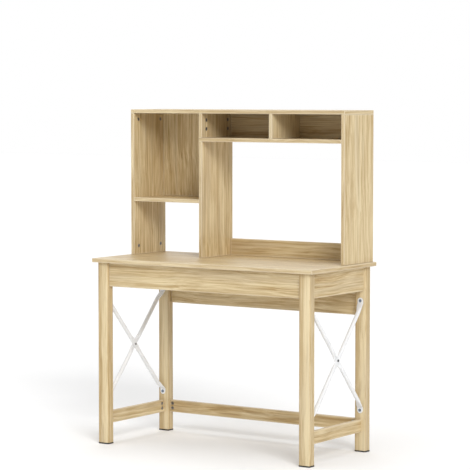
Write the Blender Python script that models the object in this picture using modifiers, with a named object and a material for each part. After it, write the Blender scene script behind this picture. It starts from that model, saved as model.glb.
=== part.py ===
"""Writing desk with a hutch standing on its top, in oak-faced board with white steel braces.

Frame: metres, +Z up, +X to the user's right, +Y to the back. The origin is on the floor under
the middle of the desk top. Boards butt against each other and are held by cam locks, their
bolts and wooden dowels, so every board carries the bores of its own fittings.
"""

import math

import bmesh
import bpy
from mathutils import Matrix, Vector

# Desk
DESK_WIDTH = 1.040
DESK_DEPTH = 0.480
DESK_HEIGHT = 0.750
TOP_THICK = 0.016
BOARD = 0.015
EDGE_ROUND = 0.0008
GAP = 0.0003

LEG_WIDE = 0.050
LEG_DEEP = 0.037
LEG_ROUND = 0.006
LEG_OUT_X = 0.5025
LEG_OUT_Y = 0.225
PAD_THICK = 0.005
PAD_LIP = 0.0006
PEG_RADIUS = 0.004
PEG_LENGTH = 0.012

APRON_DROP = 0.096
BACK_PANEL_DROP = 0.195
FRONT_APRON_SETBACK = 0.010
SIDE_APRON_SETBACK = 0.0095
BACK_PANEL_SETBACK = 0.001
STRETCHER_LOW = 0.080
STRETCHER_TALL = 0.050

# Braces: round tube, pressed flat at both ends and where two tubes cross
BRACE_X = 0.4865
TAB_X = 0.479
SCREW_LOW = 0.1665
SCREW_HIGH = 0.5985
TUBE_RADIUS = 0.008
TAB_HALF_WIDTH = 0.0125
TAB_HALF_THICK = 0.0015
PRESS_HALF_THICK = 0.0018
PRESS_HALF_WIDTH = 0.0115
PRESS_OFFSET = 0.0021
BEND_BELOW_SCREW = 0.010
RING_POINTS = 10

# Hutch
HUTCH_HALF_WIDTH = 0.510
HUTCH_FRONT = 0.010
HUTCH_BACK = 0.230
HUTCH_HEIGHT = 0.595
DIVIDER_LEFT = -0.171
CUBBY_DIVIDER_LEFT = 0.164
MIDDLE_SHELF_LOW = 0.468
LEFT_SHELF_LOW = 0.220
RAIL_TALL = 0.068

# Fittings
CAM_RADIUS = 0.0075
CAM_DEPTH = 0.0125
REACH_STRETCHER = 0.0135
REACH_STRETCHER_REAR = 0.0195
REACH_SHORT = 0.026
REACH_LONG = 0.035
BOLT_BORE_RADIUS = 0.0033
BOLT_DEPTH = 0.011
DOWEL_BORE_RADIUS = 0.0041
DOWEL_LENGTH = 0.026
DOWEL_IN_MATE = 0.011
SCREW_SHANK_RADIUS = 0.0025
SCREW_LENGTH = 0.026
SCREW_HEAD_RADIUS = 0.0060
SCREW_HEAD_THICK = 0.0030
CAM_SEGMENTS = 12
PIN_SEGMENTS = 8
OVERRUN = 0.001

X = Vector((1, 0, 0))
Y = Vector((0, 1, 0))
Z = Vector((0, 0, 1))

OAK = ((0.72, 0.56, 0.36, 1), 0.55, 0.0)
WHITE_STEEL = ((0.90, 0.90, 0.90, 1), 0.35, 0.2)
BLACK_PLASTIC = ((0.03, 0.03, 0.03, 1), 0.6, 0.0)
ZINC = ((0.45, 0.45, 0.46, 1), 0.4, 0.9)
BLUED_STEEL = ((0.30, 0.33, 0.38, 1), 0.35, 0.9)

for old in list(bpy.data.objects):
    bpy.data.objects.remove(old, do_unlink=True)

parts = bpy.data.collections.new("desk_with_hutch")
cutters = bpy.data.collections.new("cutters")
for collection in (parts, cutters):
    bpy.context.scene.collection.children.link(collection)

boards = {}
cam_holes = {}
pin_holes = {}


# ---------------------------------------------------------------- general tools
def finish(name, look):
    colour, roughness, metallic = look
    material = bpy.data.materials.new(name + "_finish")
    material.use_nodes = True
    shader = material.node_tree.nodes["Principled BSDF"]
    shader.inputs["Base Color"].default_value = colour
    shader.inputs["Roughness"].default_value = roughness
    shader.inputs["Metallic"].default_value = metallic
    return material


def new_object(name, bm, collection):
    mesh = bpy.data.meshes.new(name)
    bmesh.ops.recalc_face_normals(bm, faces=bm.faces)
    bm.to_mesh(mesh)
    bm.free()
    item = bpy.data.objects.new(name, mesh)
    collection.objects.link(item)
    return item


def new_part(name, bm, look):
    item = new_object(name, bm, parts)
    item.data.materials.append(finish(name, look))
    return item


def facing(point, direction):
    """Placement whose local +Z looks along direction."""
    return Matrix.Translation(point) @ direction.to_track_quat("Z", "Y").to_matrix().to_4x4()


def add_cylinder(bm, start, direction, length, radius, segments):
    middle = facing(start + direction * length / 2, direction)
    bmesh.ops.create_cone(
        bm, cap_ends=True, segments=segments, radius1=radius, radius2=radius, depth=length, matrix=middle
    )


def cut(item, name, bm, operation="DIFFERENCE"):
    cutter = new_object(name, bm, cutters)
    cutter.hide_render = True
    cutter.display_type = "WIRE"
    change = item.modifiers.new(name, "BOOLEAN")
    change.operation = operation
    change.solver = "EXACT"
    change.object = cutter


def box(bm, low, high):
    size = Vector(high) - Vector(low)
    centre = (Vector(high) + Vector(low)) / 2
    bmesh.ops.create_cube(bm, size=1.0, matrix=Matrix.Translation(centre) @ Matrix.Diagonal((*size, 1)))


def board(name, low, high):
    """A flat board between two corners, with its edges slightly broken."""
    centre = (Vector(low) + Vector(high)) / 2
    bm = bmesh.new()
    box(bm, Vector(low) - centre, Vector(high) - centre)
    item = new_part(name, bm, OAK)
    item.location = centre
    rounding = item.modifiers.new("edge_round", "BEVEL")
    rounding.width = EDGE_ROUND
    rounding.segments = 1
    boards[name] = item
    cam_holes[name] = []
    pin_holes[name] = []


def hold(board_name, mate_name, end, along, face, reach, cam_name=None):
    """Pocket and bores of a cam joint, and its cam lock where it has a name.

    The bolt stands in the mate at end and runs along into the board's cam, whose pocket opens
    on the board's side that looks along face.
    """
    centre = end + along * reach
    mouth = centre + face * BOARD / 2
    cam_holes[board_name].append((mouth + face * OVERRUN, -face, CAM_DEPTH + OVERRUN, CAM_RADIUS))
    pin_holes[board_name].append((end - along * OVERRUN, along, reach + OVERRUN, BOLT_BORE_RADIUS))
    pin_holes[mate_name].append((end + along * OVERRUN, -along, BOLT_DEPTH + OVERRUN, BOLT_BORE_RADIUS))
    if cam_name:
        bm = bmesh.new()
        add_cylinder(bm, Vector(), -face, CAM_DEPTH - 2 * GAP, CAM_RADIUS - GAP, CAM_SEGMENTS)
        item = new_part(cam_name, bm, ZINC)
        item.location = mouth - face * GAP


def peg(board_name, mate_name, end, along):
    """Bores for a wooden dowel across the joint between a mate and the board that meets it."""
    in_board = DOWEL_LENGTH - DOWEL_IN_MATE
    pin_holes[board_name].append((end - along * OVERRUN, along, in_board + OVERRUN, DOWEL_BORE_RADIUS))
    pin_holes[mate_name].append((end + along * OVERRUN, -along, DOWEL_IN_MATE + OVERRUN, DOWEL_BORE_RADIUS))


def drill(name):
    """Cuts a board's cam pockets first and its bolt and dowel bores second."""
    item = boards[name]
    for holes, segments, label in (
        (cam_holes[name], CAM_SEGMENTS, "_cam_pockets"),
        (pin_holes[name], PIN_SEGMENTS, "_bores"),
    ):
        if not holes:
            continue
        bm = bmesh.new()
        for start, direction, length, radius in holes:
            add_cylinder(bm, start, direction, length, radius, segments)
        cut(item, name + label, bm)


def turned_mesh(name, profile, steps):
    """A closed turned piece: profile points are (radius, height), from the top end down."""
    bm = bmesh.new()
    points = [bm.verts.new((radius, 0, height)) for radius, height in profile]
    for first, second in zip(points, points[1:]):
        bm.edges.new((first, second))
    mesh = bpy.data.meshes.new(name)
    bm.to_mesh(mesh)
    bm.free()
    guide = bpy.data.objects.new(name, mesh)
    cutters.objects.link(guide)
    turn = guide.modifiers.new("turn", "SCREW")
    turn.steps = steps
    turn.render_steps = steps
    turn.use_merge_vertices = True
    turn.merge_threshold = 0.0001
    solid = bpy.data.meshes.new_from_object(guide.evaluated_get(bpy.context.evaluated_depsgraph_get()))
    bpy.data.objects.remove(guide, do_unlink=True)
    return solid


def place_turned(name, solid, placement, look):
    """One fastener: a turned solid moved to its place."""
    item = bpy.data.objects.new(name, solid.copy())
    item.data.materials.append(finish(name, look))
    item.matrix_world = placement
    parts.objects.link(item)


# ---------------------------------------------------------------- desk
leg_in_x = LEG_OUT_X - LEG_WIDE
leg_in_y = LEG_OUT_Y - LEG_DEEP
leg_mid_x = LEG_OUT_X - LEG_WIDE / 2
leg_mid_y = LEG_OUT_Y - LEG_DEEP / 2
under_top = DESK_HEIGHT - TOP_THICK


def build_leg(name, side, end):
    centre = Vector((side * leg_mid_x, end * leg_mid_y, (PAD_THICK + under_top) / 2))
    half_tall = (under_top - PAD_THICK) / 2 - GAP
    bm = bmesh.new()
    box(bm, (-LEG_WIDE / 2, -LEG_DEEP / 2, -half_tall), (LEG_WIDE / 2, LEG_DEEP / 2, half_tall))
    upright = [edge for edge in bm.edges if abs(edge.verts[0].co.z - edge.verts[1].co.z) > half_tall]
    bmesh.ops.bevel(bm, geom=upright, offset=LEG_ROUND, segments=3, affect="EDGES", profile=0.5)
    item = new_part(name, bm, OAK)
    item.location = centre
    foot = Vector((centre.x, centre.y, PAD_THICK - OVERRUN))
    boards[name] = item
    cam_holes[name] = []
    pin_holes[name] = [(foot, Z, PEG_LENGTH + OVERRUN, PEG_RADIUS + GAP)]


def build_pad(name, side, end):
    """Moulded foot pad with a peg that is pressed up into the leg."""
    middle = Vector((side * leg_mid_x, end * leg_mid_y, PAD_THICK / 2))
    bm = bmesh.new()
    half_wide = LEG_WIDE / 2 + PAD_LIP
    half_deep = LEG_DEEP / 2 + PAD_LIP
    box(bm, (-half_wide, -half_deep, -PAD_THICK / 2), (half_wide, half_deep, PAD_THICK / 2))
    upright = [edge for edge in bm.edges if (edge.verts[0].co - edge.verts[1].co).length < 2 * PAD_THICK]
    bmesh.ops.bevel(bm, geom=upright, offset=LEG_ROUND, segments=3, affect="EDGES", profile=0.5)
    item = new_part(name, bm, BLACK_PLASTIC)
    item.location = middle
    stem = bmesh.new()
    root = Vector((middle.x, middle.y, PAD_THICK / 2))
    add_cylinder(stem, root, Z, PAD_THICK / 2 + PEG_LENGTH - GAP, PEG_RADIUS, PIN_SEGMENTS)
    cut(item, name + "_peg", stem, "UNION")


corners = {
    "front_left": (-1, -1),
    "front_right": (1, -1),
    "back_left": (-1, 1),
    "back_right": (1, 1),
}
for corner, (side, end) in corners.items():
    build_leg("desk_leg_" + corner, side, end)
    build_pad("desk_foot_pad_" + corner, side, end)

board(
    "desk_top",
    (-DESK_WIDTH / 2, -DESK_DEPTH / 2, under_top),
    (DESK_WIDTH / 2, DESK_DEPTH / 2, DESK_HEIGHT),
)

front_apron_y = -LEG_OUT_Y + FRONT_APRON_SETBACK
back_panel_y = LEG_OUT_Y - BACK_PANEL_SETBACK - BOARD
side_apron_x = LEG_OUT_X - SIDE_APRON_SETBACK - BOARD
span_x = leg_in_x - GAP
span_y = leg_in_y - GAP
rail_top = under_top - GAP
apron_low = under_top - APRON_DROP

board("desk_apron_front", (-span_x, front_apron_y, apron_low), (span_x, front_apron_y + BOARD, rail_top))
board(
    "desk_back_panel",
    (-span_x, back_panel_y, under_top - BACK_PANEL_DROP),
    (span_x, back_panel_y + BOARD, rail_top),
)
board(
    "desk_stretcher_back",
    (-span_x, leg_mid_y - BOARD / 2, STRETCHER_LOW),
    (span_x, leg_mid_y + BOARD / 2, STRETCHER_LOW + STRETCHER_TALL),
)
for label, side in (("left", -1), ("right", 1)):
    edges = sorted((side * side_apron_x, side * (side_apron_x + BOARD)))
    board("desk_apron_" + label, (edges[0], -span_y, apron_low), (edges[1], span_y, rail_top))
    middle = side * leg_mid_x
    board(
        "desk_stretcher_" + label,
        (middle - BOARD / 2, -span_y, STRETCHER_LOW),
        (middle + BOARD / 2, span_y, STRETCHER_LOW + STRETCHER_TALL),
    )

# Cam joints and dowels of the desk frame. The pockets of the aprons and of the back panel
# open where a seated user can't see them; those of the stretchers open to the inside.
stretcher_mid = STRETCHER_LOW + STRETCHER_TALL / 2
stretcher_cams = {"lower": stretcher_mid - 0.0085, "upper": stretcher_mid + 0.0115}
apron_cam = apron_low + 0.030
apron_dowel = apron_low + 0.066
panel_cams = (under_top - BACK_PANEL_DROP + 0.040, under_top - 0.040)
front_mid = front_apron_y + BOARD / 2
panel_mid = back_panel_y + BOARD / 2
side_names = {-1: "left", 1: "right"}
end_names = {-1: "front", 1: "back"}
for side, label in side_names.items():
    inward = -side * X
    front_leg = "desk_leg_front_" + label
    back_leg = "desk_leg_back_" + label
    leg_face = side * leg_in_x
    end = Vector((leg_face, front_mid, apron_cam))
    hold("desk_apron_front", front_leg, end, inward, Y, REACH_SHORT)
    peg("desk_apron_front", front_leg, Vector((leg_face, front_mid, apron_dowel)), inward)
    for height in panel_cams:
        hold("desk_back_panel", back_leg, Vector((leg_face, panel_mid, height)), inward, Y, REACH_LONG)
    for level, height in stretcher_cams.items():
        end = Vector((leg_face, leg_mid_y, height))
        cam = "cam_lock_stretcher_back_" + label + "_" + level
        hold("desk_stretcher_back", back_leg, end, inward, -Y, REACH_STRETCHER, cam)
    for depth_side, place in end_names.items():
        leg = "desk_leg_" + place + "_" + label
        toward_middle = -depth_side * Y
        face_y = depth_side * leg_in_y
        apron = "desk_apron_" + label
        apron_x = side * (side_apron_x + BOARD / 2)
        hold(apron, leg, Vector((apron_x, face_y, apron_cam)), toward_middle, inward, REACH_SHORT)
        peg(apron, leg, Vector((apron_x, face_y, apron_dowel)), toward_middle)
        for level, height in stretcher_cams.items():
            end = Vector((side * leg_mid_x, face_y, height))
            cam = "cam_lock_stretcher_left_" + place + "_" + level if side < 0 else None
            reach = REACH_STRETCHER if place == "front" else REACH_STRETCHER_REAR
            hold("desk_stretcher_" + label, leg, end, toward_middle, inward, reach, cam)

top_hold_x = 0.270
for side in side_names:
    for name, y in (("desk_apron_front", front_mid), ("desk_back_panel", panel_mid)):
        hold(name, "desk_top", Vector((side * top_hold_x, y, under_top)), -Z, Y, REACH_SHORT)


# ---------------------------------------------------------------- braces
def tab_width(distance):
    """Half width of the round tab end at a distance from its tip."""
    reach = min(distance, TAB_HALF_WIDTH)
    return math.sqrt(TAB_HALF_WIDTH**2 - (TAB_HALF_WIDTH - reach) ** 2)


def half_brace_stations(press_side):
    """Sections from the low front tab to the crossing: (x, y, z, half x, half thick, squareness)."""
    tab_y = -(leg_in_y - GAP - TAB_HALF_THICK)
    tip = SCREW_LOW - TAB_HALF_WIDTH
    bend = Vector((0, tab_y, SCREW_LOW + BEND_BELOW_SCREW))
    crossing = Vector((0, 0, (SCREW_LOW + SCREW_HIGH) / 2))
    run = (crossing - bend).length
    stations = []
    for distance in (0.0006, 0.004, TAB_HALF_WIDTH):
        stations.append((TAB_X, tab_y, tip + distance, tab_width(distance), TAB_HALF_THICK, 4))
    stations.append((TAB_X, tab_y, bend.z - 0.003, TAB_HALF_WIDTH, TAB_HALF_THICK, 4))
    swell = (
        (0.012, 0.25, 0.0125, 0.0030, 3),
        (0.026, 0.65, 0.0100, 0.0062, 2.2),
        (0.042, 1.00, TUBE_RADIUS, TUBE_RADIUS, 2),
        (run - 0.036, 1.00, TUBE_RADIUS, TUBE_RADIUS, 2),
    )
    for along, shift, half_x, half_thick, squareness in swell:
        place = bend.lerp(crossing, along / run)
        x = TAB_X + (BRACE_X - TAB_X) * shift
        stations.append((x, place.y, place.z, half_x, half_thick, squareness))
    pressed_x = BRACE_X + press_side * PRESS_OFFSET
    for along, half_x, half_thick in (
        (run - 0.024, 0.0050, 0.0102),
        (run - 0.0135, PRESS_HALF_THICK, PRESS_HALF_WIDTH),
    ):
        place = bend.lerp(crossing, along / run)
        stations.append((pressed_x, place.y, place.z, half_x, half_thick, 3))
    return stations


def section_ring(bm, station, tangent):
    """Ring of points around a section: round at squareness 2, nearly a slab at 4."""
    x, y, z, half_x, half_thick, squareness = station
    across = Vector((0, -tangent.z, tangent.y))
    ring = []
    for step in range(RING_POINTS):
        angle = 2 * math.pi * (step + 0.5) / RING_POINTS
        power = 2 / squareness
        wide = math.copysign(abs(math.cos(angle)) ** power, math.cos(angle)) * half_x
        thick = math.copysign(abs(math.sin(angle)) ** power, math.sin(angle)) * half_thick
        ring.append(bm.verts.new(Vector((x + wide, y, z)) + across * thick))
    return ring


def build_brace(name, side, lean):
    """One tube of a crossed pair: lean 1 rises to the back, -1 rises to the front."""
    press_side = lean
    front = half_brace_stations(press_side)
    middle_z = (SCREW_LOW + SCREW_HIGH) / 2
    back = [(x, -y, 2 * middle_z - z, a, b, n) for x, y, z, a, b, n in reversed(front)]
    stations = front + back
    bm = bmesh.new()
    rings = []
    for index, station in enumerate(stations):
        before = Vector(stations[max(index - 1, 0)][:3])
        after = Vector(stations[min(index + 1, len(stations) - 1)][:3])
        tangent = after - before
        tangent.x = 0
        if index in (0, len(stations) - 1):
            tangent = Z.copy()
        rings.append(section_ring(bm, station, tangent.normalized()))
    for first, second in zip(rings, rings[1:]):
        for step in range(RING_POINTS):
            following = (step + 1) % RING_POINTS
            bm.faces.new((first[step], first[following], second[following], second[step]))
    bm.faces.new(rings[0])
    bm.faces.new(rings[-1])
    flip = Matrix.Diagonal((side, lean, 1, 1))
    bmesh.ops.transform(bm, matrix=flip, verts=bm.verts)
    item = new_part(name, bm, WHITE_STEEL)
    holes = bmesh.new()
    hole_radius = SCREW_SHANK_RADIUS + GAP
    for end, height in ((-1, SCREW_LOW), (1, SCREW_HIGH)):
        start = Vector((side * TAB_X, lean * end * (leg_in_y + OVERRUN), height))
        add_cylinder(holes, start, -lean * end * Y, 0.010, hole_radius, PIN_SEGMENTS)
    centre = Vector((side * (BRACE_X - 0.010), 0, middle_z))
    add_cylinder(holes, centre, side * X, 0.020, hole_radius, PIN_SEGMENTS)
    cut(item, name + "_holes", holes)


brace_screw = turned_mesh(
    "brace_screw",
    (
        (0, SCREW_HEAD_THICK),
        (SCREW_HEAD_RADIUS * 0.62, SCREW_HEAD_THICK * 0.9),
        (SCREW_HEAD_RADIUS, SCREW_HEAD_THICK * 0.35),
        (SCREW_HEAD_RADIUS, 0),
        (SCREW_SHANK_RADIUS, 0),
        (SCREW_SHANK_RADIUS, -SCREW_LENGTH + 0.003),
        (0, -SCREW_LENGTH),
    ),
    PIN_SEGMENTS,
)
pressed_out = PRESS_OFFSET + PRESS_HALF_THICK + GAP
shank_long = 2 * pressed_out + 0.005
centre_bolt = turned_mesh(
    "centre_bolt",
    (
        (0, 0.0034),
        (0.0034, 0.0029),
        (0.0052, 0.0010),
        (0.0052, 0),
        (SCREW_SHANK_RADIUS, 0),
        (SCREW_SHANK_RADIUS, -shank_long),
        (0, -shank_long),
    ),
    PIN_SEGMENTS,
)
centre_nut = turned_mesh(
    "centre_nut",
    (
        (SCREW_SHANK_RADIUS + GAP, 0.0032),
        (0.0045, 0.0032),
        (0.0045, 0),
        (SCREW_SHANK_RADIUS + GAP, 0),
        (SCREW_SHANK_RADIUS + GAP, 0.0032),
    ),
    PIN_SEGMENTS,
)

crossing_z = (SCREW_LOW + SCREW_HIGH) / 2
screw_levels = {"low": SCREW_LOW, "high": SCREW_HIGH}
for side, label in side_names.items():
    build_brace("desk_brace_" + label + "_rising", side, 1)
    build_brace("desk_brace_" + label + "_falling", side, -1)
    for end, place in end_names.items():
        outward = end * Y
        for level, height in screw_levels.items():
            face = Vector((side * TAB_X, end * leg_in_y, height))
            bore = (face - outward * OVERRUN, outward, SCREW_LENGTH, SCREW_SHANK_RADIUS + GAP)
            pin_holes["desk_leg_" + place + "_" + label].append(bore)
            seat = face - outward * (2 * GAP + 2 * TAB_HALF_THICK)
            screw_name = "desk_brace_screw_" + label + "_" + place + "_" + level
            place_turned(screw_name, brace_screw, facing(seat, -outward), BLUED_STEEL)
    bolt_seat = Vector((side * (BRACE_X + pressed_out), 0, crossing_z))
    nut_seat = Vector((side * (BRACE_X - pressed_out), 0, crossing_z))
    place_turned("desk_brace_bolt_" + label, centre_bolt, facing(bolt_seat, side * X), ZINC)
    place_turned("desk_brace_nut_" + label, centre_nut, facing(nut_seat, -side * X), ZINC)


# ---------------------------------------------------------------- hutch
floor = DESK_HEIGHT + GAP
hutch_top = DESK_HEIGHT + HUTCH_HEIGHT
ceiling = hutch_top - BOARD
inner_x = HUTCH_HALF_WIDTH - BOARD
divider_right = DIVIDER_LEFT + BOARD
divider_mid = DIVIDER_LEFT + BOARD / 2
cubby_mid = CUBBY_DIVIDER_LEFT + BOARD / 2
middle_low = DESK_HEIGHT + MIDDLE_SHELF_LOW
middle_high = middle_low + BOARD
left_low = DESK_HEIGHT + LEFT_SHELF_LOW
left_high = left_low + BOARD
back_face = HUTCH_BACK - BOARD
back_mid = HUTCH_BACK - BOARD / 2

for label, side in (("left", -1), ("right", 1)):
    edges = sorted((side * inner_x, side * HUTCH_HALF_WIDTH))
    board("hutch_side_" + label, (edges[0], HUTCH_FRONT, floor), (edges[1], HUTCH_BACK, ceiling - GAP))
board(
    "hutch_top",
    (-HUTCH_HALF_WIDTH, HUTCH_FRONT, ceiling),
    (HUTCH_HALF_WIDTH, HUTCH_BACK, hutch_top),
)
board(
    "hutch_divider_lower",
    (DIVIDER_LEFT, HUTCH_FRONT, floor),
    (divider_right, HUTCH_BACK, middle_low - GAP),
)
board(
    "hutch_divider_upper",
    (DIVIDER_LEFT, HUTCH_FRONT, middle_high + GAP),
    (divider_right, HUTCH_BACK, ceiling - GAP),
)
board(
    "hutch_shelf_middle",
    (DIVIDER_LEFT, HUTCH_FRONT, middle_low),
    (inner_x - GAP, HUTCH_BACK, middle_high),
)
board(
    "hutch_shelf_left",
    (-inner_x + GAP, HUTCH_FRONT, left_low),
    (DIVIDER_LEFT - GAP, HUTCH_BACK, left_high),
)
board(
    "hutch_cubby_divider",
    (CUBBY_DIVIDER_LEFT, HUTCH_FRONT, middle_high + GAP),
    (CUBBY_DIVIDER_LEFT + BOARD, back_face - GAP, ceiling - GAP),
)
board(
    "hutch_back_left",
    (-inner_x + GAP, back_face, left_high + GAP),
    (DIVIDER_LEFT - GAP, HUTCH_BACK, ceiling - GAP),
)
board(
    "hutch_back_cubbies",
    (divider_right + GAP, back_face, middle_high + GAP),
    (inner_x - GAP, HUTCH_BACK, ceiling - GAP),
)
board(
    "hutch_back_rail",
    (divider_right + GAP, back_face, floor),
    (inner_x - GAP, HUTCH_BACK, DESK_HEIGHT + RAIL_TALL),
)

# Cam joints of the uprights and shelves, one near the front edge and one near the back
cam_lines = {"front": HUTCH_FRONT + 0.033, "back": HUTCH_BACK - 0.035}
cubby_cam_lines = {"front": HUTCH_FRONT + 0.033, "back": HUTCH_BACK - 0.053}
inner_cam_lines = (HUTCH_FRONT + 0.070, HUTCH_BACK - 0.070)
for place, y in cam_lines.items():
    for side, label in side_names.items():
        x = side * (inner_x + BOARD / 2)
        name = "hutch_side_" + label
        foot_cam = "cam_lock_side_left_" + place + "_low" if side < 0 else None
        head_cam = "cam_lock_side_left_" + place + "_high" if side < 0 else None
        hold(name, "desk_top", Vector((x, y, DESK_HEIGHT)), Z, -side * X, REACH_LONG, foot_cam)
        hold(name, "hutch_top", Vector((x, y, ceiling)), -Z, -side * X, REACH_SHORT, head_cam)
    hold("hutch_divider_lower", "desk_top", Vector((divider_mid, y, DESK_HEIGHT)), Z, -X, REACH_LONG)
    left_end = Vector((-inner_x, y, left_low + BOARD / 2))
    right_end = Vector((DIVIDER_LEFT, y, left_low + BOARD / 2))
    hold("hutch_shelf_left", "hutch_side_left", left_end, X, -Z, REACH_SHORT)
    hold("hutch_shelf_left", "hutch_divider_lower", right_end, -X, -Z, REACH_SHORT)
    shelf_end = Vector((inner_x, y, middle_low + BOARD / 2))
    hold("hutch_shelf_middle", "hutch_side_right", shelf_end, -X, -Z, REACH_SHORT)
    for name, x, face, line in (
        ("hutch_divider_upper", divider_mid, X, y),
        ("hutch_cubby_divider", cubby_mid, -X, cubby_cam_lines[place]),
    ):
        visible = face.x > 0
        foot_cam = "cam_lock_divider_" + place + "_low" if visible else None
        head_cam = "cam_lock_divider_" + place + "_high" if visible else None
        hold(name, "hutch_shelf_middle", Vector((x, line, middle_high)), Z, face, REACH_LONG, foot_cam)
        hold(name, "hutch_top", Vector((x, line, ceiling)), -Z, face, REACH_SHORT, head_cam)
for y in inner_cam_lines:
    seat = Vector((divider_mid, y, middle_low))
    hold("hutch_divider_lower", "hutch_shelf_middle", seat, -Z, -X, REACH_SHORT)

# Dowels of the back boards and of the low rail, at either end of each board
dowel_rows = (
    ("hutch_back_left", "hutch_side_left", -inner_x, X, (left_high + 0.040, middle_low - 0.060)),
    ("hutch_back_left", "hutch_divider_lower", DIVIDER_LEFT, -X, (left_high + 0.040, middle_low - 0.060)),
    ("hutch_back_left", "hutch_divider_upper", DIVIDER_LEFT, -X, (ceiling - 0.048,)),
    ("hutch_back_cubbies", "hutch_divider_upper", divider_right, X, (middle_high + 0.022, ceiling - 0.022)),
    ("hutch_back_cubbies", "hutch_side_right", inner_x, -X, (middle_high + 0.022, ceiling - 0.022)),
    ("hutch_back_rail", "hutch_divider_lower", divider_right, X, (DESK_HEIGHT + 0.018, DESK_HEIGHT + 0.050)),
    ("hutch_back_rail", "hutch_side_right", inner_x, -X, (DESK_HEIGHT + 0.018, DESK_HEIGHT + 0.050)),
)
for name, mate, x, along, heights in dowel_rows:
    for height in heights:
        peg(name, mate, Vector((x, back_mid, height)), along)

for name in boards:
    drill(name)
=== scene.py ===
"""Looks of the writing desk with its hutch: oak-faced boards, legs, braces, fittings and studio.

The boards keep the solids of the frame. Legs, foot pads, brace tubes, screws, bolts, nuts and
the cam locks in open view are made again here with finer shapes. The cam bolts, the dowels and
the other cam locks are added in the bores and pockets that the boards already have.
"""

import math

import bmesh
import bpy
from mathutils import Euler, Matrix, Vector


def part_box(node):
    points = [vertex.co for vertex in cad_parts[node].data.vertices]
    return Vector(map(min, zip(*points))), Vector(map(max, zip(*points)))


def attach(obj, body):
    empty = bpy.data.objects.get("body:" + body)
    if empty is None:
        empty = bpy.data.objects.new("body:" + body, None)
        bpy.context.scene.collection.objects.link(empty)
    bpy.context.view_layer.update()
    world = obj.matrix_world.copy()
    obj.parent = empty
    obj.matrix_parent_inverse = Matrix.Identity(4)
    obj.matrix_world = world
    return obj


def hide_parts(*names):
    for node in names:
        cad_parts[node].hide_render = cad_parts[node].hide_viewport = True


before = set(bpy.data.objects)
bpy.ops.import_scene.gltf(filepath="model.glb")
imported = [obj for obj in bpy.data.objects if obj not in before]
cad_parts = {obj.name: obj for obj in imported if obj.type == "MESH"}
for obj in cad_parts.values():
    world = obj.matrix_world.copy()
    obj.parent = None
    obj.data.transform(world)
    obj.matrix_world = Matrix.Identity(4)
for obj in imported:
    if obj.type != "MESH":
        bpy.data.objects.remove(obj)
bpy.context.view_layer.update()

X = Vector((1, 0, 0))
Y = Vector((0, 1, 0))
Z = Vector((0, 0, 1))
BODY = "root"

# ---------------------------------------------------------------- sizes shared with the joinery
BOARD = 0.015
GAP = 0.0003
LEG_ROUND = 0.006
CAM_RADIUS = 0.0072
CAM_DEPTH = 0.0119
REACH_STRETCHER = 0.0135
REACH_STRETCHER_REAR = 0.0195
REACH_SHORT = 0.026
REACH_LONG = 0.035
BOLT_IN_MATE = 0.011
DOWEL_RADIUS = 0.0040
DOWEL_LENGTH = 0.0256
DOWEL_IN_MATE = 0.0108
SCREW_LOW = 0.1665
SCREW_HIGH = 0.5985
TAB_X = 0.479
BRACE_X = 0.4865
TUBE_RADIUS = 0.008
TAB_HALF_WIDTH = 0.0125
TAB_HALF_THICK = 0.0015
PRESS_HALF_THICK = 0.0018
PRESS_HALF_WIDTH = 0.0115
PRESS_OFFSET = 0.0021
BEND_ABOVE_SCREW = 0.010


# ---------------------------------------------------------------- node trees
def add_node(tree, kind, inputs=None, **settings):
    """A node with its settings, and its inputs joined to a socket or set to a value."""
    item = tree.nodes.new(kind)
    for name, value in settings.items():
        setattr(item, name, value)
    for key, value in (inputs or {}).items():
        if isinstance(value, bpy.types.NodeSocket):
            tree.links.new(value, item.inputs[key])
        else:
            item.inputs[key].default_value = value
    return item


def maths(tree, operation, *values):
    inputs = dict(enumerate(values))
    return add_node(tree, "ShaderNodeMath", inputs, operation=operation).outputs[0]


def vector_maths(tree, operation, *values):
    inputs = dict(enumerate(values))
    return add_node(tree, "ShaderNodeVectorMath", inputs, operation=operation).outputs[0]


def spread(tree, value, low, high, out_low=0.0, out_high=1.0, smooth=True):
    """A value's range, stretched to another range and clamped."""
    inputs = {"Value": value, "From Min": low, "From Max": high, "To Min": out_low, "To Max": out_high}
    kind = "SMOOTHSTEP" if smooth else "LINEAR"
    return add_node(tree, "ShaderNodeMapRange", inputs, interpolation_type=kind).outputs[0]


def noise(tree, place, scale=1.0, detail=2.0, rough=0.5, distortion=0.0):
    inputs = {
        "Vector": place,
        "Scale": scale,
        "Detail": detail,
        "Roughness": rough,
        "Distortion": distortion,
    }
    return add_node(tree, "ShaderNodeTexNoise", inputs).outputs[0]


def mix_vector(tree, factor, first, second):
    inputs = {0: factor, 4: first, 5: second}
    return add_node(tree, "ShaderNodeMix", inputs, data_type="VECTOR").outputs[1]


def mix_colour(tree, factor, first, second, blend="MIX"):
    inputs = {0: factor, 6: first, 7: second}
    return add_node(tree, "ShaderNodeMix", inputs, data_type="RGBA", blend_type=blend).outputs[2]


def ramp(tree, value, stops):
    """A colour ramp from (position, colour) stops."""
    item = add_node(tree, "ShaderNodeValToRGB", {0: value})
    item.color_ramp.interpolation = "B_SPLINE"
    elements = item.color_ramp.elements
    while len(elements) < len(stops):
        elements.new(0.5)
    for element, (position, colour) in zip(elements, stops):
        element.position = position
        element.color = (*colour, 1.0)
    return item.outputs[0]


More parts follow.
